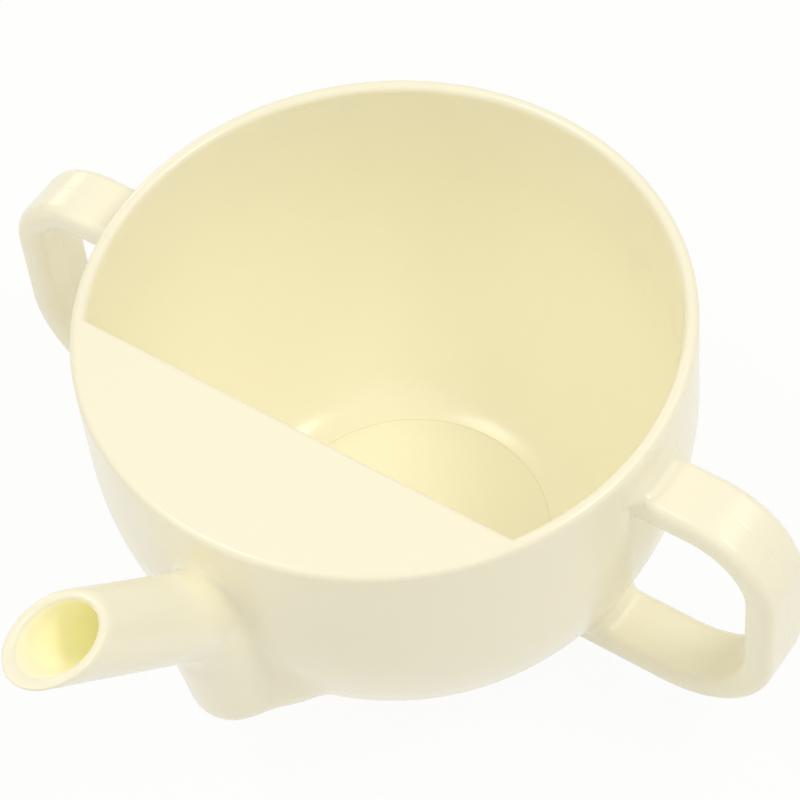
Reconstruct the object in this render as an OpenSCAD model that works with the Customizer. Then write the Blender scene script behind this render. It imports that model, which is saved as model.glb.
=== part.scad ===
// Invalid feeder: a round moulded drinking bowl with a half cover over its front,
// a raised spout on a hollow column, and two strap handles.
// The origin is the middle of the base, on the bowl's axis. +Z is up and -Y is the spout's side.

/* [Bowl] */
// Outer diameter of the rim
rim_d = 100; // [90:1:110]
// Radius of the wall's long curve below the straight part
side_r = 58; // [55:1:61]
// Radius of the short curve into the flat base
heel_r = 17; // [15:1:19]
// Height of the straight part of the wall, up to the rim
straight_h = 19; // [16:1:22]
// Thickness of the wall, which the rim rounds over
wall_t = 2.4; // [2:0.2:3]

/* [Floor disc] */
// Diameter of the flat disc let into the bowl's floor
disc_d = 49; // [46:1:53]
// Thickness of the disc
disc_t = 1.5; // [1.2:0.1:1.8]
// Depth of bowl that is left under the disc
disc_seat = 1.3; // [1.1:0.1:1.6]

/* [Half cover] */
// Distance from the bowl's axis to the cover's straight edge
cover_y = 25; // [20:1:32]
// Thickness of the cover, whose top is level with the rim
cover_t = 2.2; // [1.8:0.2:2.8]
// Height of the rib that locates the cover inside the wall
rib_h = 3; // [2:0.5:5]
// Thickness of that rib
rib_t = 1.6; // [1.2:0.2:2.4]

/* [Spout] */
// Angle of the spout above the level
spout_rise = 48; // [44:1:52]
// Distance from the bowl's axis to the middle of the spout's mouth
spout_reach = 82; // [76:1:88]
// Height of the spout's level mouth above the rim
mouth_rise = 15; // [10:1:20]
// Outer diameter of the spout at its mouth
mouth_d = 13.8; // [12:0.2:14]
// Outer diameter of the spout where it meets the bowl
root_d = 14.2; // [12:0.2:14.4]
// Diameter of the spout's bore
bore_d = 9.6; // [8:0.2:10]

/* [Column] */
// Diameter of the hollow column under the spout
column_d = 15; // [14:0.5:16]
// Diameter of the duct inside the column
duct_d = 9; // [7:0.5:10]
// Height of the centre of the column's round lower end
column_low_z = 24; // [22:0.5:26]
// Distance of that centre from the bowl's axis
column_low_y = 48.5; // [47:0.5:50]
// Height of the column's upper end, inside the spout's root
column_top_z = 44; // [42:0.5:46]
// Distance of that end from the bowl's axis
column_top_y = 51.5; // [50:0.5:53]
// Diameter of the port from the bowl into the column
port_d = 8; // [6:0.5:9]

/* [Handles] */
// Distance from the bowl's axis to the outside of a handle
handle_reach = 74.4; // [72:0.2:78]
// Height of the top face of the upper strap
handle_top = 57.5; // [54:0.5:60]
// Height of the lower face of the lower strap
handle_low = 8; // [7:0.5:10]
// Thickness of the strap
strap_t = 5.2; // [4.4:0.2:6]
// Width of the strap
strap_w = 11.6; // [10:0.2:13]
// Radius of the strap's rounded edges
strap_edge = 1.9; // [0.6:0.1:2.1]
// Outer radius of the upper bend
bend_top_r = 15; // [12:0.5:18]
// Outer radius of the lower bend
bend_low_r = 20; // [16:0.5:24]
// Radius of the fillets between the upper strap and the wall
root_fillet = 3.5; // [2:0.5:6]

/* [Hidden] */
$fn = 96;

cream = [0.97, 0.95, 0.84];
pale_yellow = [0.95, 0.92, 0.75];

rim_r = rim_d / 2;
lip_r = wall_t / 2;
curve_turn = 45;                       // angle at which the long curve hands over to the short one
foot_r = rim_r - side_r + (side_r - heel_r) * cos(curve_turn);
shoulder_z = heel_r + (side_r - heel_r) * sin(curve_turn);
bowl_h = shoulder_z + straight_h;
rib_clear = 0.2;                       // gap between the cover's rib and the wall
mouth_z = bowl_h + mouth_rise;
spout_run = 60;                        // length of the tube before it is cut at both ends
handle_inner_x = 30;                   // the straps start inside the bowl and are cut by its wall
far = 200;

// Half of the bowl's outline, filled, with its face moved inwards by inset
module bowl_half(inset, top) {
    translate([0, shoulder_z]) square([rim_r - inset, top - shoulder_z]);
    intersection() {
        translate([rim_r - side_r, shoulder_z]) circle(side_r - inset);
        polygon([
            [foot_r, heel_r],
            [foot_r + far, heel_r - far],
            [foot_r + far, shoulder_z],
            [foot_r, shoulder_z]
        ]);
    }
    translate([foot_r, heel_r]) circle(heel_r - inset);
    translate([0, inset]) square([foot_r, shoulder_z - inset]);
}

// The bowl as one filled solid, used to trim what is joined to its wall
module bowl_body() {
    rotate_extrude() bowl_half(0, bowl_h);
}

// Everything in front of the half cover's straight edge, moved back by a distance
module front_of(back) {
    translate([-far / 2, -cover_y - back - far, -far / 2]) cube([far, far, far]);
}

// Moves a shape that runs along Z onto the spout's axis, with Z = 0 at the middle of the mouth
module on_spout() {
    translate([0, -spout_reach, mouth_z]) rotate([90 - spout_rise, 0, 0]) children();
}

// A round bar with round ends between the column's two centres
module column_bar(d) {
    lean_y = column_low_y - column_top_y;
    lean_z = column_top_z - column_low_z;
    bar_len = norm([lean_y, lean_z]);
    translate([0, -column_low_y, column_low_z]) {
        sphere(d / 2);
        rotate([atan2(-lean_y, lean_z), 0, 0]) {
            cylinder(h = bar_len, r = d / 2);
            translate([0, 0, bar_len]) sphere(d / 2);
        }
    }
}

module spout_outside() {
    on_spout() translate([0, 0, -spout_run]) {
        cylinder(h = spout_run, r1 = root_d / 2, r2 = mouth_d / 2);
        translate([0, 0, spout_run]) cylinder(h = mouth_d, r = mouth_d / 2);
    }
}

module bowl() {
    color(cream) difference() {
        rotate_extrude() {
            difference() {
                bowl_half(0, bowl_h - lip_r);
                bowl_half(wall_t, bowl_h);
            }
            translate([rim_r - lip_r, bowl_h - lip_r]) circle(lip_r);
        }
        // Seat for the half cover
        intersection() {
            front_of(0);
            translate([0, 0, bowl_h - cover_t]) cylinder(h = far, r = far);
        }
        // Recess for the floor disc
        translate([0, 0, disc_seat]) cylinder(h = disc_t, d = disc_d);
        // Port into the column
        translate([0, -rim_r + far / 10, column_low_z]) rotate([90, 0, 0]) cylinder(h = far / 5, d = port_d);
    }
}

module base_disc() {
    color(pale_yellow) translate([0, 0, disc_seat]) cylinder(h = disc_t, d = disc_d);
}

module half_cover() {
    edge_r = cover_t / 2;
    color(cream) {
        // Plate with a rounded outer edge and a rounded straight edge
        intersection() {
            union() {
                intersection() {
                    rotate_extrude() {
                        translate([0, bowl_h - cover_t]) square([rim_r - lip_r, cover_t]);
                        translate([0, bowl_h - cover_t]) square([rim_r, cover_t - lip_r]);
                        translate([rim_r - lip_r, bowl_h - lip_r]) circle(lip_r);
                    }
                    front_of(edge_r);
                }
                translate([-rim_r, -cover_y - edge_r, bowl_h - edge_r])
                    rotate([0, 90, 0]) cylinder(h = rim_d, r = edge_r);
            }
            cylinder(h = far, r = rim_r);
        }
        // Rib that sits just inside the wall
        intersection() {
            rotate_extrude()
                translate([rim_r - wall_t - rib_clear - rib_t, bowl_h - cover_t - rib_h])
                    square([rib_t, rib_h]);
            front_of(wall_t);
        }
    }
}

module spout_duct() {
    color(cream) difference() {
        column_bar(column_d);
        bowl_body();
        spout_outside();
        column_bar(duct_d);
    }
}

module spout() {
    color(cream) difference() {
        spout_outside();
        bowl_body();
        on_spout() translate([0, 0, -spout_run]) cylinder(h = spout_run + far, d = bore_d);
        // Level mouth
        translate([0, 0, mouth_z]) cylinder(h = far, r = far);
        // Window into the column's duct
        column_bar(duct_d);
    }
}

// Cross-section of a strap: thickness along X, width along Y, edges rounded
module strap_section() {
    half_t = strap_t / 2 - strap_edge;
    half_w = strap_w / 2 - strap_edge;
    square([strap_t - 2 * strap_edge, strap_w], center = true);
    square([strap_t, strap_w - 2 * strap_edge], center = true);
    for (x = [-half_t, half_t], y = [-half_w, half_w])
        translate([x, y]) circle(strap_edge);
}

// A quarter bend of the strap about a centre in the XZ plane, starting at an angle from +X
module strap_bend(centre_x, centre_z, outer_r, start) {
    translate([centre_x, 0, centre_z])
        rotate([90, -start, 0])
            rotate_extrude(angle = 90) translate([outer_r - strap_t / 2, 0]) strap_section();
}

// A level run of the strap from the bowl out to a bend
module strap_run(mid_z, end_x) {
    translate([handle_inner_x, 0, mid_z])
        rotate([0, 90, 0]) linear_extrude(end_x - handle_inner_x) strap_section();
}

// Section of a fillet in the corner between a strap's face, at 0, and the wall on its left
module fillet_section() {
    difference() {
        translate([-wall_t, -strap_edge]) square([wall_t + root_fillet, root_fillet + strap_edge]);
        translate([root_fillet, root_fillet]) circle(root_fillet);
    }
}

// Fillets above and below the upper strap, against the straight part of the wall
module root_fillets() {
    translate([rim_r, 0, handle_top - strap_t / 2])
        for (below = [0, 1])
            mirror([0, 0, below])
                translate([0, 0, strap_t / 2])
                    rotate([90, 0, 0])
                        linear_extrude(strap_w - 2 * strap_edge, center = true) fillet_section();
}

module handle() {
    mid_x = handle_reach - strap_t / 2;
    low_turn_z = handle_low + bend_low_r;
    top_turn_z = handle_top - bend_top_r;
    difference() {
        union() {
            strap_run(handle_top - strap_t / 2, handle_reach - bend_top_r);
            strap_bend(handle_reach - bend_top_r, top_turn_z, bend_top_r, 0);
            translate([mid_x, 0, low_turn_z])
                linear_extrude(top_turn_z - low_turn_z) strap_section();
            strap_bend(handle_reach - bend_low_r, low_turn_z, bend_low_r, -90);
            strap_run(handle_low + strap_t / 2, handle_reach - bend_low_r);
            root_fillets();
        }
        bowl_body();
    }
}

module right_handle() {
    color(cream) handle();
}

module left_handle() {
    color(cream) mirror([1, 0, 0]) handle();
}

bowl();
base_disc();
half_cover();
spout_duct();
spout();
left_handle();
right_handle();
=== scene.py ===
"""Invalid feeder, dressed: a cream moulded cup with a half cover, a spout and two strap handles.

Shapes are worked out in millimetres from the middle of the base and written to the meshes in
metres. The spout's side is -Y, the handles are on X, and Z is up.
"""
import math

import bmesh
import bpy
import numpy as np
from mathutils import Matrix, Vector


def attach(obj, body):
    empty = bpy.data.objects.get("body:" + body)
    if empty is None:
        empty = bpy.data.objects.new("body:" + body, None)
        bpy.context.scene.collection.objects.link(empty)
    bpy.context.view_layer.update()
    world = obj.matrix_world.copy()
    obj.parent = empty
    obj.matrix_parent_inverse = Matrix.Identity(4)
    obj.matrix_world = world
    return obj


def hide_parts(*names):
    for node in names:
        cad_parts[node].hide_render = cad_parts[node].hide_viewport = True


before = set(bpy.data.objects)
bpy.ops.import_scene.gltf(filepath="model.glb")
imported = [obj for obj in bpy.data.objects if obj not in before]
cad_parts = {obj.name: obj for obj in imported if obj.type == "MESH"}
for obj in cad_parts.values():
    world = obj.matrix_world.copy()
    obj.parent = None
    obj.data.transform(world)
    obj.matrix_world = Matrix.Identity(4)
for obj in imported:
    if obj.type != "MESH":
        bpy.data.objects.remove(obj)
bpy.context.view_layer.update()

MM = 0.001
X_AXIS = np.array([1.0, 0.0, 0.0])
Y_AXIS = np.array([0.0, 1.0, 0.0])

# Bowl
RIM_R = 50.0
SIDE_R = 58.0
HEEL_R = 17.0
STRAIGHT_H = 19.0
WALL = 2.4
TURN_DEG = 45.0
TURN = math.radians(TURN_DEG)
LIP = WALL / 2
FOOT_R = RIM_R - SIDE_R + (SIDE_R - HEEL_R) * math.cos(TURN)
SHOULDER_Z = HEEL_R + (SIDE_R - HEEL_R) * math.sin(TURN)
BOWL_H = SHOULDER_Z + STRAIGHT_H
BOWL_COLUMNS = 360

# Floor disc
DISC_R = 24.5
DISC_LOW = 1.3
DISC_TOP = 2.8
DISC_EDGE = 0.12
DISC_COLUMNS = 240

# Half cover
COVER_Y = 25.0
COVER_T = 2.2

# Spout
SPOUT_REACH = 82.0
MOUTH_RISE = 15.0
RISE = math.radians(48)
TIP = np.array([0.0, -SPOUT_REACH, BOWL_H + MOUTH_RISE])
ALONG = np.array([0.0, -math.cos(RISE), math.sin(RISE)])
MOUTH_R = 6.9
ROOT_R = 7.1
ROOT_S = 60.0
BORE_R = 4.8
MOUTH_OUTER = 0.7
MOUTH_DEEP = 2.4

# Places along the spout's axis, from its mouth: where rings lie square to it, where they stand
# upright, and where the rings of the outside and of the bore change their spacing
SQUARE_S = (14.0, 28.0)
UPRIGHT_S = 44.0
SKIN_S = 36.0
BORE_S = 38.0
SQUARE_TIP = 42.0

# Column, and the flat oval pouch at its foot
COLUMN_R = 7.5
DUCT_R = 4.5
COLUMN_LOW = np.array([0.0, -48.5, 24.0])
COLUMN_TOP = np.array([0.0, -51.5, 44.0])
PORT_R = 4.0
POUCH = np.array([0.0, -44.0, 24.5])
POUCH_R = np.array([12.0, 6.0, 9.5])
POUCH_ROOT = 4.0

# Fans of the column, in degrees: past level on each side, up the wall and down the wall
FAN_PAST = 5.0
FAN_UP = -90.0
FAN_DOWN = 125.0

# How far the column's skin may leave its bar at the upper end: least, what the level fan has more,
# and the lean in radians over which that is lost
TOP_LEAST = 1.2
TOP_MORE = 3.0
TOP_LEAN = 0.5

# Handles
REACH = 74.4
HANDLE_TOP = 57.5
HANDLE_LOW = 8.0
STRAP_T = 5.2
STRAP_W = 11.6
STRAP_EDGE = 1.9
BEND_TOP = 15.0
BEND_LOW = 20.0

# Lengths of strap with close rings at the upper and lower root, and the length over which the
# lower rings turn to lie with the wall
TOP_RUN = 8.0
LOW_RUN = 7.0
LIE_RUN = 6.0

# A fine groove left by the mould along the middle of the straps, which ends short of the lower root
SEAM_DEEP = 0.035
SEAM_W = 0.2
SEAM_FADE = 3.0
SEAM_GAP = 2.0

# Sizes of the soft roots where the limbs leave the wall
FOOT_ROOT = 5.0
SIDE_ROOT = 1.2
OVER_ROOT = 3.2
ELBOW_ROOT = 2.4
STRAP_ROOT = 0.6
STRAP_OVER_ROOT = 3.8
LOW_ROOT = 2.0
LOW_OVER_ROOT = 6.5

# Heights between which a root grows: at the column's foot, over the spout, and about a strap's
# top face
FOOT_FADE = (44.0, 28.0)
OVER_FADE = (46.0, 56.0)
STRAP_FADE = (-2.0, 0.5)
LOW_FADE = (-3.5, 1.5)

# Hidden ends: how much one limb gives way to the other, how far a skin may pass its root, how far
# a root's edge lies under the wall's face, and how deep the ends lie in the wall
TUCK = 0.03
SPARE = 0.4
UNDER = 0.006
DEPTH = 2.0

# Rays: steps and halvings of the search, and the longest ray of each form
RAY_STEPS = 121
RAY_HALVINGS = 32
SPOUT_RAY = 24.0
COLUMN_RAY = 28.0
DUCT_RAY = 14.0
STRAP_RAY = 16.0

# Small amounts: for a slope by differences, and to keep clear of zero and of rounding
NUDGE = 0.01
TINY = 1e-9

# Mesh clean-up in millimetres, and the angles in degrees above which an edge stays sharp
DOUBLE_GAP = 0.002
SHORT_EDGE = 0.001
CREASE = 40
DISC_CREASE = 60
LIMB_CREASE = 70

# Light: one warm tint for lamps and surroundings, a white floor, and the height lamps turn to
LIGHT_TINT = (1, 0.957, 0.85)
SKY_STRENGTH = 0.47
FLOOR_SHADE = 0.9
FLOOR_LIFT = 0.93
FLOOR_HALF = 3.0
BOUNCES = 12
LAMP_AIM_Z = 0.04

# Soft round lamps: name, heading from the cup, distance and width in metres, and watts
LAMPS = (
    ("lamp_right", (0.56, 0.2, 0.8), 1.0, 0.25, 1.85),
    ("lamp_over", (-0.37, -0.12, 0.92), 1.0, 0.28, 1.6),
    ("lamp_front", (0.34, -0.5, 0.8), 1.2, 1.3, 2.4),
    ("lamp_front_left", (-0.55, -0.6, 0.58), 1.2, 0.6, 0.9),
    ("lamp_back", (0.38, 0.52, 0.76), 1.2, 0.6, 1.6),
    ("lamp_left", (-0.85, -0.3, 0.4), 1.2, 0.6, 0.55),
    ("lamp_left_low", (-0.87, 0.44, 0.25), 1.0, 0.3, 0.6),
)


def eased(z, start, stop):
    """A smooth step from 0 at one height to 1 at another."""
    t = np.clip((z - start) / (stop - start), 0, 1)
    return t * t * (3 - 2 * t)


def merged(a, b, root):
    """The lesser of two distances, eased over a root's size, so that shapes meet in a hollow."""
    ease = np.maximum(root - np.abs(a - b), 0)
    return np.minimum(a, b) - ease**2 / (4 * root)


def wall_radius(z, inset):
    """Radius of the wall at a height: straight, then the long side curve, then the heel curve."""
    drop = np.minimum(z - SHOULDER_Z, 0)
    side = RIM_R - SIDE_R + np.sqrt(np.maximum((SIDE_R - inset) ** 2 - drop**2, 0))
    heel = FOOT_R + np.sqrt(np.maximum((HEEL_R - inset) ** 2 - (z - HEEL_R) ** 2, 0))
    return np.where(z < HEEL_R - (HEEL_R - inset) * math.sin(TURN), heel, side)


def bowl_field(p):
    """Distance to the bowl's outside: to the straight wall, side curve, heel curve or flat base."""
    r = np.hypot(p[..., 0], p[..., 1])
    z = p[..., 2]
    side = np.hypot(r - (RIM_R - SIDE_R), z - SHOULDER_Z) - SIDE_R
    heel = np.where(r > FOOT_R, np.hypot(r - FOOT_R, z - HEEL_R) - HEEL_R, -z)
    low = np.where(r - (RIM_R - SIDE_R) >= SHOULDER_Z - z, side, heel)
    return np.where(z >= SHOULDER_Z, r - RIM_R, low)


def sunk(p):
    """Points moved square to the bowl's outside, so that they lie half a wall under it."""
    nudges = NUDGE * np.eye(3)
    heading = np.stack([bowl_field(p + nudge) - bowl_field(p - nudge) for nudge in nudges], -1)
    heading /= np.linalg.norm(heading, axis=-1, keepdims=True)
    return p - heading * (bowl_field(p) + WALL / 2)[..., None]


def tube_field(p):
    """Distance to the spout's outside: from its axis, less a radius that grows towards the root."""
    q = p - TIP
    s = q @ ALONG
    away = np.linalg.norm(q - s[..., None] * ALONG, axis=-1)
    return away - (MOUTH_R + (MOUTH_R - ROOT_R) * s / ROOT_S)


def bar_field(p, radius):
    """Distance to a round bar with round ends between the column's two centres."""
    run = COLUMN_TOP - COLUMN_LOW
    q = p - COLUMN_LOW
    t = np.clip(q @ run / (run @ run), 0, 1)
    return np.linalg.norm(q - t[..., None] * run, axis=-1) - radius


def column_field(p):
    """Distance to the column's outside: the round bar, eased into the pouch against the wall."""
    q = (p - POUCH) / POUCH_R
    near = np.linalg.norm(q, axis=-1)
    steep = np.maximum(np.linalg.norm(q / POUCH_R, axis=-1), TINY)
    return merged(bar_field(p, COLUMN_R), near * (near - 1) / steep, POUCH_ROOT)


def root_size(z):
    """Size of the soft root at a height: wide at the foot, tight at the elbow, wider above."""
    foot = (FOOT_ROOT - SIDE_ROOT) * eased(z, *FOOT_FADE)
    over = (OVER_ROOT - SIDE_ROOT) * eased(z, *OVER_FADE)
    return SIDE_ROOT + foot + over


def limbs_field(p):
    """Distances to the tube and to the column, and to both as one form eased into the bowl."""
    tube = tube_field(p)
    bar = column_field(p)
    both = merged(tube, bar, ELBOW_ROOT)
    return tube, bar, merged(both, bowl_field(p) + UNDER, root_size(p[..., 2]))


def strap_root(z):
    """Size of the soft root round the upper strap: small beside it, wider over its top face."""
    over = eased(z, HANDLE_TOP + STRAP_FADE[0], HANDLE_TOP + STRAP_FADE[1])
    return STRAP_ROOT + (STRAP_OVER_ROOT - STRAP_ROOT) * over


def low_root(z):
    """Size of the soft root round the lower strap: small beside it, wide over its top face."""
    face_z = HANDLE_LOW + STRAP_T
    over = eased(z, face_z + LOW_FADE[0], face_z + LOW_FADE[1])
    return LOW_ROOT + (LOW_OVER_ROOT - LOW_ROOT) * over


def strap_field(p, mid_z):
    """Distance to a level strap along X: a rectangle across it with rounded corners."""
    a = np.abs(p[..., 1]) - (STRAP_W / 2 - STRAP_EDGE)
    b = np.abs(p[..., 2] - mid_z) - (STRAP_T / 2 - STRAP_EDGE)
    corner = np.hypot(np.maximum(a, 0), np.maximum(b, 0))
    return corner + np.minimum(np.maximum(a, b), 0) - STRAP_EDGE


def rooted_field(p, mid_z, root):
    """Distance to a level strap eased into the bowl, kept within a root's size of the strap."""
    strap = strap_field(p, mid_z)
    size = root(p[..., 2])
    return np.maximum(merged(strap, bowl_field(p) + UNDER, size), strap - size - SPARE)


def run_out(field, start, heading, longest):
    """How far each ray runs until the field turns positive: stepped to the change, then halved."""
    steps = np.linspace(0, longest, RAY_STEPS)
    points = start[..., None, :] + heading[..., None, :] * steps[:, None]
    outside = field(points) > 0
    first = np.where(outside.any(-1), outside.argmax(-1), len(steps) - 1)
    near = steps[np.maximum(first - 1, 0)]
    far = steps[first]
    for _ in range(RAY_HALVINGS):
        middle = (near + far) / 2
        out = field(start + heading * middle[..., None]) > 0
        far = np.where(out, middle, far)
        near = np.where(out, near, middle)
    return (near + far) / 2


def arc(centre, radius, start, stop, count):
    """Points of a circle's arc between two angles in degrees."""
    turn = np.radians(np.linspace(start, stop, count))
    return np.column_stack([centre[0] + radius * np.cos(turn), centre[1] + radius * np.sin(turn)])


def line(start, stop, count):
    """Evenly spaced points of a straight line."""
    return np.linspace(start, stop, count)


def joined(*runs):
    """Runs of points in one, without the point that each shares with the one before."""
    return np.concatenate([runs[0]] + [run[1:] for run in runs[1:]])


def grid_numbers(points):
    """Point numbers of a grid, row by row."""
    return np.arange(points.shape[0] * points.shape[1]).reshape(points.shape[:2])


def grid_faces(numbers, wrap_rows=False, wrap_columns=False):
    """Four-cornered faces between neighbours in a grid of numbers, joined round where it wraps."""
    if wrap_rows:
        numbers = np.concatenate([numbers, numbers[:1]])
    if wrap_columns:
        numbers = np.concatenate([numbers, numbers[:, :1]], axis=1)
    corners = [numbers[:-1, :-1], numbers[:-1, 1:], numbers[1:, 1:], numbers[1:, :-1]]
    return np.stack(corners, -1).reshape(-1, 4)


def piece(name, points, faces, material, node, crease=CREASE, second=None, is_second=None):
    """A mesh in metres from points in millimetres, which rides the root and replaces a CAD node.

    Doubles are merged, faces turned outwards, and shading is smooth but for sharp creases. Faces
    that is_second marks take the second material.
    """
    mesh = bpy.data.meshes.new(name)
    corners = (np.asarray(points).reshape(-1, 3) * MM).tolist()
    mesh.from_pydata(corners, [], [list(face) for face in faces])
    mesh.materials.append(material)
    if second is not None:
        mesh.materials.append(second)
        mesh.polygons.foreach_set("material_index", np.asarray(is_second, np.int32))
    work = bmesh.new()
    work.from_mesh(mesh)
    bmesh.ops.remove_doubles(work, verts=work.verts, dist=DOUBLE_GAP * MM)
    bmesh.ops.dissolve_degenerate(work, edges=work.edges, dist=SHORT_EDGE * MM)
    bmesh.ops.recalc_face_normals(work, faces=work.faces)
    work.to_mesh(mesh)
    work.free()
    mesh.polygons.foreach_set("use_smooth", np.ones(len(mesh.polygons), bool))
    mesh.set_sharp_from_angle(angle=math.radians(crease))
    made = bpy.data.objects.new(name, mesh)
    bpy.context.scene.collection.objects.link(made)
    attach(made, "root")
    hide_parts(node)


def turned(profile, columns):
    """A profile of radius and height carried round the axis: rows along it, columns round it.

    The columns start at the back.
    """
    angle = np.radians(np.linspace(-180, 180, columns, endpoint=False))
    radius, height = profile[:, :1], profile[:, 1:]
    flat = np.zeros_like(angle)
    return np.stack([radius * np.sin(angle), -radius * np.cos(angle), height + flat], -1)


def bowl_shell(material):
    """The bowl: its closed outline turned round the axis, with a round port in the front wall."""
    flat_rows, heel_rows, side_rows, straight_rows, lip_rows, step_rows = 8, 25, 65, 12, 25, 3
    window_half, window_rings = 8, 6
    side_c = (RIM_R - SIDE_R, SHOULDER_Z)
    heel_c = (FOOT_R, HEEL_R)
    lip_c = (RIM_R - LIP, BOWL_H - LIP)
    inner_r = RIM_R - WALL
    disc_turn = -math.degrees(math.acos((DISC_R - FOOT_R) / (HEEL_R - WALL)))
    outside = joined(
        line((0.0, 0.0), (FOOT_R, 0.0), flat_rows),
        arc(heel_c, HEEL_R, -90, -TURN_DEG, heel_rows),
    )
    outer_first = len(outside) - 1
    outside = joined(outside, arc(side_c, SIDE_R, -TURN_DEG, 0, side_rows))
    rim = joined(
        line((RIM_R, SHOULDER_Z), (RIM_R, BOWL_H - LIP), straight_rows),
        arc(lip_c, LIP, 0, 180, lip_rows),
        line((inner_r, BOWL_H - LIP), (inner_r, SHOULDER_Z), straight_rows),
    )
    inside = joined(
        arc(side_c, SIDE_R - WALL, 0, -TURN_DEG, side_rows),
        arc(heel_c, HEEL_R - WALL, -TURN_DEG, disc_turn, heel_rows),
    )
    inside = joined(
        inside,
        line(inside[-1], (DISC_R, DISC_LOW), step_rows),
        line((DISC_R, DISC_LOW), (0.0, DISC_LOW), flat_rows),
    )
    profile = joined(outside, rim, inside)
    inner_first = len(outside) - 1 + len(rim) - 1
    points = turned(profile, BOWL_COLUMNS)
    numbers = grid_numbers(points)

    # Windows round the port in both walls, each filled from its border in to the port's circle
    middle = BOWL_COLUMNS // 2
    edge = 2 * window_half
    faces, extra, circles = [], [], []
    kept = np.ones((len(profile), BOWL_COLUMNS), bool)
    count = numbers.size
    port_z = COLUMN_LOW[2]
    shares = np.linspace(0, 1, window_rings + 1)[1:, None]
    for first, inset in ((outer_first, 0.0), (inner_first, WALL)):
        heights = profile[first:first + side_rows, 1]
        centre = first + int(np.argmin(np.abs(heights - port_z)))
        rows = np.arange(centre - window_half, centre + window_half + 1)
        columns = np.arange(middle - window_half, middle + window_half + 1)
        if heights[0] > heights[-1]:
            rows = rows[::-1]
        kept[min(rows[0], rows[-1]):max(rows[0], rows[-1]), columns[0]:columns[-1]] = False
        border_r = np.concatenate(
            [np.full(edge, rows[0]), rows[:-1], np.full(edge, rows[-1]), rows[:0:-1]]
        )
        border_c = np.concatenate(
            [columns[:-1], np.full(edge, columns[-1]), columns[:0:-1], np.full(edge, columns[0])]
        )
        border = points[border_r, border_c]
        if not circles:
            turn = np.arctan2(border[:, 2] - port_z, border[:, 0])
        from_angle = np.arcsin(border[:, 0] / wall_radius(border[:, 2], inset))
        to_z = port_z + PORT_R * np.sin(turn)
        to_angle = np.arcsin(PORT_R * np.cos(turn) / wall_radius(to_z, inset))
        z = border[:, 2] + (to_z - border[:, 2]) * shares
        angle = from_angle + (to_angle - from_angle) * shares
        radius = wall_radius(z, inset)
        window = np.stack([radius * np.sin(angle), -radius * np.cos(angle), z], -1)
        extra.append(window.reshape(-1, 3))
        new = count + np.arange(z.size).reshape(z.shape)
        count += z.size
        rings = np.concatenate([numbers[border_r, border_c][None], new])
        faces.append(grid_faces(rings, wrap_columns=True))
        circles.append(new[-1])
    faces.append(grid_faces(np.stack(circles), wrap_columns=True))
    wall = grid_faces(numbers, wrap_columns=True).reshape(len(profile) - 1, BOWL_COLUMNS, 4)
    faces.append(wall[kept[:-1]])
    points = np.concatenate([points.reshape(-1, 3)] + extra)
    piece("bowl_shell", points, np.concatenate(faces), material, "bowl")


def floor_disc(material):
    """The floor's disc: a flat outline with a finely rounded edge, turned round the axis."""
    flat_rows, edge_rows, side_rows = 12, 6, 3
    edge_c = (DISC_R - DISC_EDGE, DISC_TOP - DISC_EDGE)
    profile = joined(
        line((0.0, DISC_TOP), (DISC_R - DISC_EDGE, DISC_TOP), flat_rows),
        arc(edge_c, DISC_EDGE, 90, 0, edge_rows),
        line((DISC_R, DISC_TOP - DISC_EDGE), (DISC_R, DISC_LOW), side_rows),
        line((DISC_R, DISC_LOW), (0.0, DISC_LOW), flat_rows),
    )
    points = turned(profile, DISC_COLUMNS)
    faces = grid_faces(grid_numbers(points), wrap_columns=True)
    piece("floor_disc", points, faces, material, "base_disc", DISC_CREASE)


def cover_plate(material):
    """The half cover: an outline of underside, half-round edge and top, carried across.

    At each place it is as wide as the circle through the middle of the rim.
    """
    plan_rows, nose_rows, across_columns = 60, 21, 121
    out_r = RIM_R - LIP
    edge = COVER_T / 2
    spread = np.linspace(0, math.acos((COVER_Y + edge) / out_r), plan_rows)
    plan = -out_r * np.cos(spread)
    under = np.column_stack([plan, np.full_like(plan, BOWL_H - COVER_T)])
    top = np.column_stack([plan, np.full_like(plan, BOWL_H)])[::-1]
    nose = arc((-COVER_Y - edge, BOWL_H - edge), edge, -90, 90, nose_rows)
    outline = joined(under, nose, top)
    across = np.linspace(-1, 1, across_columns)
    half_width = np.sqrt(np.maximum(out_r**2 - outline[:, 0] ** 2, 0))
    flat = np.zeros_like(across)
    points = np.stack(
        [half_width[:, None] * across, outline[:, :1] + flat, outline[:, 1:] + flat], -1
    )
    numbers = grid_numbers(points)
    faces = grid_faces(numbers).tolist()
    last = len(plan) - 1
    for column in (0, -1):
        border = numbers[:, column]
        faces += grid_faces(np.stack([border[:last + 1], border[::-1][:last + 1]])).tolist()
        faces.append(border[last:len(border) - last].tolist())
    piece("cover_plate", points, faces, material, "half_cover")


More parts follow.
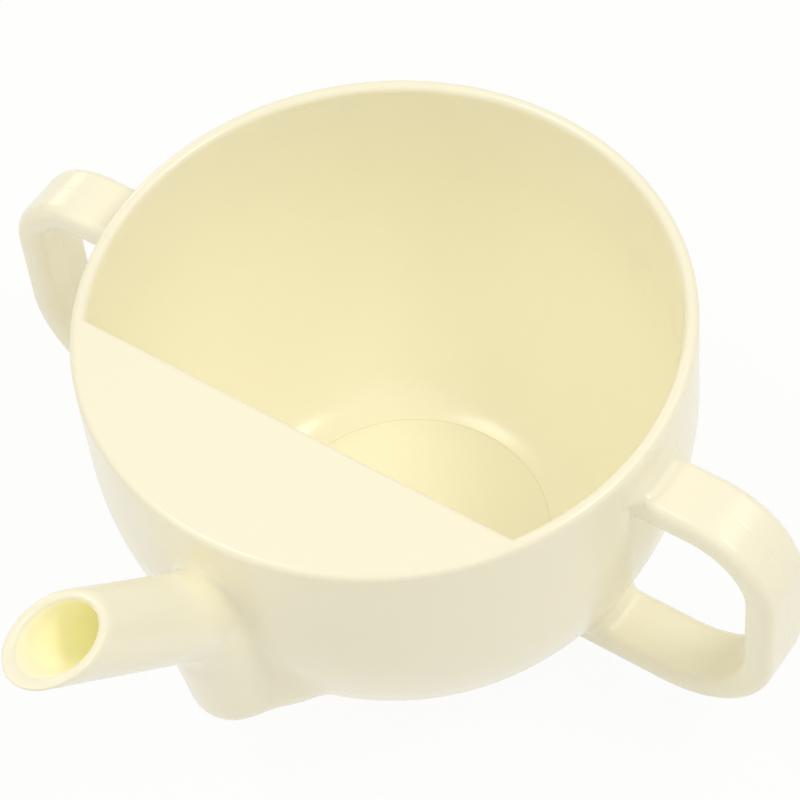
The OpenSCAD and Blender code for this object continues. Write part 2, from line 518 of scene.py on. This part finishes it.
def spout_tube(material, bore_glow_material):
    """The spout: rings on its axis that lie level at the mouth and turn upright at the wall.

    Outside, each ring's ray runs to the tube, eased into the column and the bowl. The rounded lip
    leads over to the bore, and the hidden ends of both lie in the wall.
    """
    columns, end_rows, root_rows, skin_rows, lip_rows = 144, 50, 80, 60, 9
    bore_rows, bore_end_rows, pale_rows = 40, 12, 3
    turn = np.linspace(0, 2 * math.pi, columns, endpoint=False)
    end_s = (TIP[1] + RIM_R - DEPTH) / ALONG[1]
    wall_s = (TIP[1] + RIM_R) / ALONG[1]
    lip_out_s, lip_in_s = MOUTH_OUTER / ALONG[2], MOUTH_DEEP / ALONG[2]

    def rings(s):
        """Each ring's middle, and its rays in a plane that tips from level to upright."""
        places = [lip_in_s, *SQUARE_S, UPRIGHT_S, end_s]
        tip = np.radians(np.interp(s, places, [0, SQUARE_TIP, SQUARE_TIP, 90, 90]))
        middle = TIP - s[:, None] * ALONG
        across = np.stack([0 * tip, np.cos(tip), np.sin(tip)], -1)
        rays = np.cos(turn)[:, None] * X_AXIS + np.sin(turn)[:, None] * across[:, None, :]
        square = np.linalg.norm(rays - (rays @ ALONG)[..., None] * ALONG, axis=-1)
        return middle[:, None, :] + 0 * rays, rays, square

    def outside(p):
        """Distance to the spout's skin, which gives way to the column's where that is nearer."""
        tube, bar, whole = limbs_field(p)
        return np.maximum(whole + TUCK * np.maximum(tube - bar, 0), tube - OVER_ROOT - SPARE)

    s_out = joined(
        np.linspace(end_s, wall_s, end_rows),
        np.linspace(wall_s, SKIN_S, root_rows),
        np.linspace(SKIN_S, lip_out_s, skin_rows),
    )
    start, rays, _ = rings(s_out)
    skin = start + rays * run_out(outside, start, rays, SPOUT_RAY)[..., None]

    # The lip: both edges rounded, in rings that stay level
    swing = np.radians(np.linspace(0, 90, lip_rows))
    out_turn, in_turn = swing[1:, None], swing[-2::-1, None]
    drop = np.concatenate(
        [MOUTH_OUTER * (1 - np.sin(out_turn)), MOUTH_DEEP * (1 - np.sin(in_turn))]
    )
    rays = np.cos(turn)[:, None] * X_AXIS + np.sin(turn)[:, None] * Y_AXIS
    square = np.linalg.norm(rays - (rays @ ALONG)[:, None] * ALONG, axis=-1)
    outer = MOUTH_R / square - MOUTH_OUTER * (1 - np.cos(out_turn))
    inner_round = (MOUTH_R - BORE_R) / square - MOUTH_OUTER
    inner = BORE_R / square + inner_round * (1 - np.cos(in_turn))
    lip = TIP - drop[..., None] / ALONG[2] * ALONG
    lip = lip + rays * np.concatenate([outer, inner])[..., None]

    s_in = joined(
        np.linspace(lip_in_s, BORE_S, bore_rows), np.linspace(BORE_S, end_s, bore_end_rows)
    )[1:]
    start, rays, square = rings(s_in)
    bore = start + rays * (BORE_R / square)[..., None]
    points = np.concatenate([skin, lip, bore])
    faces = grid_faces(grid_numbers(points), wrap_rows=True, wrap_columns=True)
    # Faces deep in the bore take painted light: a yellower colour and a glow for light through the
    # thin wall
    bore_glow_faces = np.arange(len(faces)) // columns >= len(skin) + len(out_turn) + pale_rows
    piece(
        "spout_tube", points, faces, material, "spout",
        LIMB_CREASE, bore_glow_material, bore_glow_faces,
    )


def column_shell(material):
    """The hollow column: rays in fans from a line behind the wall, out to a bar with soft roots.

    The fans lean from up the wall, over the column's front, to down the wall. Points that end
    behind the wall's middle, and the borders, are sunk into it. Rays from a line in the wall end
    on the duct for the inside, and the two skins join at their borders.
    """
    fan_columns, up, along, down = 191, 31, 61, 126
    sweep = np.radians(np.linspace(-FAN_PAST, 180 + FAN_PAST, fan_columns))
    bar_run = COLUMN_TOP - COLUMN_LOW
    lean_y, lean_z = bar_run[1:] / np.linalg.norm(bar_run)
    lean = np.radians(joined(
        np.linspace(FAN_UP, 0, up), np.zeros(along), np.linspace(0, FAN_DOWN, down)
    ))
    heights = joined(
        np.full(up, COLUMN_TOP[2]),
        np.linspace(COLUMN_TOP[2], COLUMN_LOW[2], along),
        np.full(down, COLUMN_LOW[2]),
    )
    top_limit = TOP_LEAST + TOP_MORE * np.clip(1 + lean / TOP_LEAN, 0, 1)
    limit = np.where(heights < COLUMN_TOP[2], FOOT_ROOT + SPARE, top_limit)
    middle = np.column_stack([0 * heights, DEPTH - wall_radius(heights, 0.0), heights])
    facing = math.atan2(-lean_y, lean_z)
    tilt = lean + facing
    out = np.stack([0 * tilt, -np.cos(tilt), -np.sin(tilt)], -1)
    rays = np.cos(sweep)[:, None] * X_AXIS + np.sin(sweep)[:, None] * out[:, None, :]
    start = middle[:, None, :] + 0 * rays

    def outside(p):
        """Distance to the column's skin, which gives way to the spout's where that is nearer."""
        tube, bar, whole = limbs_field(p)
        reach = limit.reshape((-1,) + (1,) * (bar.ndim - 1))
        return np.maximum(whole + TUCK * np.maximum(bar - tube, 0), bar - reach)

    behind = start + DEPTH * Y_AXIS
    skin = behind + rays * run_out(outside, behind, rays, COLUMN_RAY)[..., None]
    hidden = bowl_field(skin) < -WALL / 2
    hidden[[0, -1]] = True
    hidden[:, [0, -1]] = True
    skin = np.where(hidden[..., None], sunk(skin), skin)
    duct_run = run_out(lambda p: bar_field(p, DUCT_R), start, rays, DUCT_RAY)
    duct = start + rays * duct_run[..., None]
    points = np.concatenate([skin, duct[:, ::-1]], axis=1)
    numbers = grid_numbers(points)
    faces = [grid_faces(numbers, wrap_columns=True)]
    for row in (0, -1):
        ends = np.stack([numbers[row, :fan_columns], numbers[row, :fan_columns - 1:-1]])
        faces.append(grid_faces(ends))
    faces = np.concatenate(faces)
    piece("column_shell", points, faces, material, "spout_duct", LIMB_CREASE)


def strap_handle(name, side, material, node):
    """A strap handle: a rounded rectangle carried along two runs, two bends and an upright.

    Near both roots each ring's rays run to the strap eased into the bowl. A fine groove runs along
    the middle of both faces.
    """
    face_rows, corner_rows, edge_rows = 9, 9, 7
    root_rows, run_rows, over_rows, upright_rows, under_rows = 90, 4, 34, 10, 40
    low_run_rows, low_root_rows = 16, 46
    half_w, half_t = STRAP_W / 2, STRAP_T / 2
    flat_w, flat_t = half_w - STRAP_EDGE, half_t - STRAP_EDGE
    groove_side = 0.9
    groove = np.array([0.0, 0.09, 0.18, 0.3, 0.5])
    face_a = np.concatenate([
        np.linspace(flat_w, groove_side, face_rows),
        groove[::-1],
        -groove[1:],
        np.linspace(-groove_side, -flat_w, face_rows),
    ])
    quarter = arc((flat_w, flat_t), STRAP_EDGE, 0, 90, corner_rows)[1:-1]
    top = np.column_stack([face_a, np.full_like(face_a, half_t)])
    edge = np.column_stack([np.full(edge_rows, half_w), np.linspace(-flat_t, flat_t, edge_rows)])
    half = np.concatenate([edge, quarter, top, (quarter * [-1, 1])[::-1]])
    section = np.concatenate([half, -half])
    length = np.hypot(section[:, 0], section[:, 1])
    cross = section / length[:, None]

    mid_top = HANDLE_TOP - half_t
    mid_low = HANDLE_LOW + half_t
    low_wall = float(wall_radius(np.array(mid_low), 0.0))
    x_top = joined(
        np.linspace(RIM_R - DEPTH, RIM_R + TOP_RUN, root_rows),
        np.linspace(RIM_R + TOP_RUN, REACH - BEND_TOP, run_rows),
    )
    x_low = joined(
        np.linspace(REACH - BEND_LOW, low_wall + LOW_RUN, low_run_rows),
        np.linspace(low_wall + LOW_RUN, low_wall - DEPTH, low_root_rows),
    )
    over_c = (REACH - BEND_TOP, HANDLE_TOP - BEND_TOP)
    under_c = (REACH - BEND_LOW, HANDLE_LOW + BEND_LOW)
    over = arc(over_c, BEND_TOP - half_t, 90, 0, over_rows)
    under = arc(under_c, BEND_LOW - half_t, 0, -90, under_rows)
    path = joined(
        np.column_stack([x_top, np.full_like(x_top, mid_top)]),
        over,
        line(over[-1], under[0], upright_rows),
        under,
        np.column_stack([x_low, np.full_like(x_low, mid_low)]),
    )
    slope = math.degrees(math.atan2(SHOULDER_Z - mid_low, low_wall - RIM_R + SIDE_R))
    lie = np.clip((low_wall + LOW_RUN - x_low) / LIE_RUN, 0, 1)
    facing = np.radians(joined(
        np.full(len(x_top), 90.0),
        np.linspace(90, 0, over_rows),
        np.zeros(upright_rows),
        np.linspace(0, -90, under_rows),
        -90 - slope * lie,
    ))
    middle = np.column_stack([path[:, 0], 0 * facing, path[:, 1]])
    out = np.stack([np.cos(facing), 0 * facing, np.sin(facing)], -1)
    rays = cross[:, :1] * Y_AXIS + cross[:, 1:] * out[:, None, :]
    start = middle[:, None, :] + 0 * rays
    reach = np.tile(length, (len(path), 1))
    low_first = len(path) - len(x_low)
    for rows, mid_z, root in (
        (slice(0, len(x_top)), mid_top, strap_root),
        (slice(low_first, len(path)), mid_low, low_root),
    ):
        reach[rows] = run_out(
            lambda p: rooted_field(p, mid_z, root), start[rows], rays[rows], STRAP_RAY
        )
    fade = np.clip((path[:, 0] - RIM_R) / SEAM_FADE, 0, 1)
    fade[low_first:] = np.clip((x_low - low_wall - SEAM_GAP) / SEAM_FADE, 0, 1)
    on_face = np.abs(section[:, 1]) > half_t - TINY
    seam = np.where(on_face, -SEAM_DEEP * np.exp(-((section[:, 0] / SEAM_W) ** 2)), 0)
    points = start + rays * (reach + seam * fade[:, None])[..., None]
    points[..., 0] *= side
    numbers = grid_numbers(points)
    faces = grid_faces(numbers, wrap_columns=True).tolist()
    faces += [numbers[0].tolist(), numbers[-1].tolist()]
    piece(name, points, faces, material, node, LIMB_CREASE)


class Wire:
    """One shader socket: sums, differences and products of wires add their Math nodes."""

    def __init__(self, tree, socket=None):
        self.tree = tree
        self.socket = socket

    def node(self, kind, inputs, output=0, **settings):
        """A node of any type: settings, then values or wires by socket; gives an output's wire."""
        made = self.tree.nodes.new(kind)
        for key, value in settings.items():
            setattr(made, key, value)
        for key, value in inputs.items():
            if isinstance(value, Wire):
                self.tree.links.new(value.socket, made.inputs[key])
            else:
                made.inputs[key].default_value = value
        return Wire(self.tree, made.outputs[output] if made.outputs else None)

    def maths(self, operation, first, second):
        """A Math node of two values or wires."""
        return self.node("ShaderNodeMath", {0: first, 1: second}, operation=operation)

    def __add__(self, other):
        return self.maths("ADD", self, other)

    __radd__ = __add__

    def __sub__(self, other):
        return self.maths("SUBTRACT", self, other)

    def __mul__(self, other):
        return self.maths("MULTIPLY", self, other)


def blank(name):
    """A new material with an empty tree."""
    made = bpy.data.materials.new(name)
    made.use_nodes = True
    made.node_tree.nodes.clear()
    return made, Wire(made.node_tree)


def moulded_plastic(name, pale, warm, gloss, glow=0.0):
    """Cream plastic: slow drifts of tone from the melt's flow, and a gloss that varies.

    Its skin is moulded very fine. A glow is painted light that stands for daylight coming through a
    thin wall.
    """
    made, tree = blank(name)
    place = tree.node("ShaderNodeTexCoord", {}, output="Object")

    def noise(scale, detail, roughness):
        """Noise over the object's own coordinates."""
        inputs = {"Vector": place, "Scale": scale, "Detail": detail, "Roughness": roughness}
        return tree.node("ShaderNodeTexNoise", inputs)

    drift = noise(22.0, 3.0, 0.5)
    cloud = noise(140.0, 4.0, 0.6)
    skin = noise(1500.0, 2.0, 0.5)
    tone = drift * 0.75 + cloud * 0.25
    tones = {0: tone, 6: (*pale, 1), 7: (*warm, 1)}
    colour = tree.node("ShaderNodeMix", tones, output=2, data_type="RGBA", clamp_factor=True)
    rough = gloss + (cloud - 0.5) * 0.05 + (drift - 0.5) * 0.03
    relief = tree.node("ShaderNodeBump", {"Height": skin, "Strength": 0.02, "Distance": 0.0001})
    shader = tree.node("ShaderNodeBsdfPrincipled", {
        "Base Color": colour,
        "Roughness": rough,
        "Normal": relief,
        "IOR": 1.49,
        "Emission Color": colour,
        "Emission Strength": glow,
    })
    tree.node("ShaderNodeOutputMaterial", {"Surface": shader})
    return made


def white_ground(name):
    """The floor: matt white that takes the cup's soft shadow.

    It is lifted towards white where the camera or a gloss sees it.
    """
    made, tree = blank(name)
    shade = (FLOOR_SHADE, FLOOR_SHADE, FLOOR_SHADE, 1)
    matt = tree.node("ShaderNodeBsdfDiffuse", {"Color": shade})
    glow = tree.node("ShaderNodeEmission", {"Color": (1, 1, 1, 1), "Strength": 1.0})
    path = made.node_tree.nodes.new("ShaderNodeLightPath")
    kinds = ("Is Camera Ray", "Is Glossy Ray", "Is Transmission Ray")
    seen = [Wire(made.node_tree, path.outputs[kind]) for kind in kinds]
    lift = (seen[0] + seen[1] + seen[2]) * FLOOR_LIFT
    shader = tree.node("ShaderNodeMixShader", {0: lift, 1: matt, 2: glow})
    tree.node("ShaderNodeOutputMaterial", {"Surface": shader})
    return made


def camera_view():
    """The camera: set back from the cup along a bearing and a height, and rolled a little.

    It is then turned so that the mark falls a few pixels off the picture's middle.
    """
    focal, distance, picture_width, mark_drop = 3300.0, 543.852, 800, 27
    bearing, height, roll = (math.radians(v) for v in (39.766, 53.718, -7.089))
    off_x, off_y = -5.071, 14.418
    mark = np.array([0.0, 0.0, BOWL_H - mark_drop])
    level = math.cos(height)
    back = np.array([math.sin(bearing) * level, -math.cos(bearing) * level, math.sin(height)])
    right = np.array([math.cos(bearing), math.sin(bearing), 0.0])
    up = np.cross(back, right)
    aim = Vector((off_x / focal, -off_y / focal, -1.0)).normalized()
    swing = np.array(Vector((0, 0, -1)).rotation_difference(aim).to_matrix())
    spin = np.array(Matrix.Rotation(roll, 3, "Z"))
    axes = np.column_stack([right, up, back]) @ spin @ swing.T
    data = bpy.data.cameras.new("camera")
    data.sensor_width = 36.0
    data.sensor_fit = "HORIZONTAL"
    data.lens = focal / picture_width * data.sensor_width
    data.clip_start = 0.01
    made = bpy.data.objects.new("camera", data)
    made.matrix_world = Matrix.Translation((mark + back * distance) * MM) @ Matrix(axes).to_4x4()
    bpy.context.scene.collection.objects.link(made)
    bpy.context.scene.camera = made


def soft_lamp(name, heading, distance, size, watts):
    """A round soft lamp at a distance from the cup along a heading, turned to the cup."""
    data = bpy.data.lights.new(name, "AREA")
    data.shape = "DISK"
    data.size = size
    data.energy = watts
    data.color = LIGHT_TINT
    made = bpy.data.objects.new(name, data)
    away = Vector(heading).normalized()
    place = Matrix.Translation(away * distance + Vector((0, 0, LAMP_AIM_Z)))
    made.matrix_world = place @ away.to_track_quat("Z", "Y").to_matrix().to_4x4()
    bpy.context.scene.collection.objects.link(made)


def studio():
    """White floor, even warm surroundings and seven soft lamps."""
    scene = bpy.context.scene
    scene.view_settings.view_transform = "Standard"
    scene.cycles.diffuse_bounces = BOUNCES
    world = bpy.data.worlds.new("surroundings")
    scene.world = world
    world.use_nodes = True
    sky = world.node_tree.nodes["Background"].inputs
    sky["Color"].default_value = (*LIGHT_TINT, 1)
    sky["Strength"].default_value = SKY_STRENGTH
    mesh = bpy.data.meshes.new("floor")
    far = FLOOR_HALF
    corners = [(-far, -far, 0), (far, -far, 0), (far, far, 0), (-far, far, 0)]
    mesh.from_pydata(corners, [], [(0, 1, 2, 3)])
    mesh.materials.append(white_ground("white_ground"))
    floor = bpy.data.objects.new("floor", mesh)
    scene.collection.objects.link(floor)
    for lamp in LAMPS:
        soft_lamp(*lamp)


camera_view()
studio()
CREAM = moulded_plastic("cream_plastic", (0.985, 0.962, 0.815), (0.977, 0.953, 0.797), 0.23)
FLOOR_CREAM = moulded_plastic("floor_plastic", (0.98, 0.956, 0.802), (0.972, 0.947, 0.783), 0.235)
# Painted light in the bore: its yellower colour and glow stand for light shining through the
# spout's thin wall
BORE_PAINTED_GLOW = moulded_plastic(
    "bore_painted_glow", (0.975, 0.958, 0.745), (0.97, 0.952, 0.725), 0.235, glow=0.065
)
bowl_shell(CREAM)
floor_disc(FLOOR_CREAM)
cover_plate(CREAM)
spout_tube(CREAM, BORE_PAINTED_GLOW)
column_shell(CREAM)
strap_handle("handle_left", -1, CREAM, "left_handle")
strap_handle("handle_right", 1, CREAM, "right_handle")
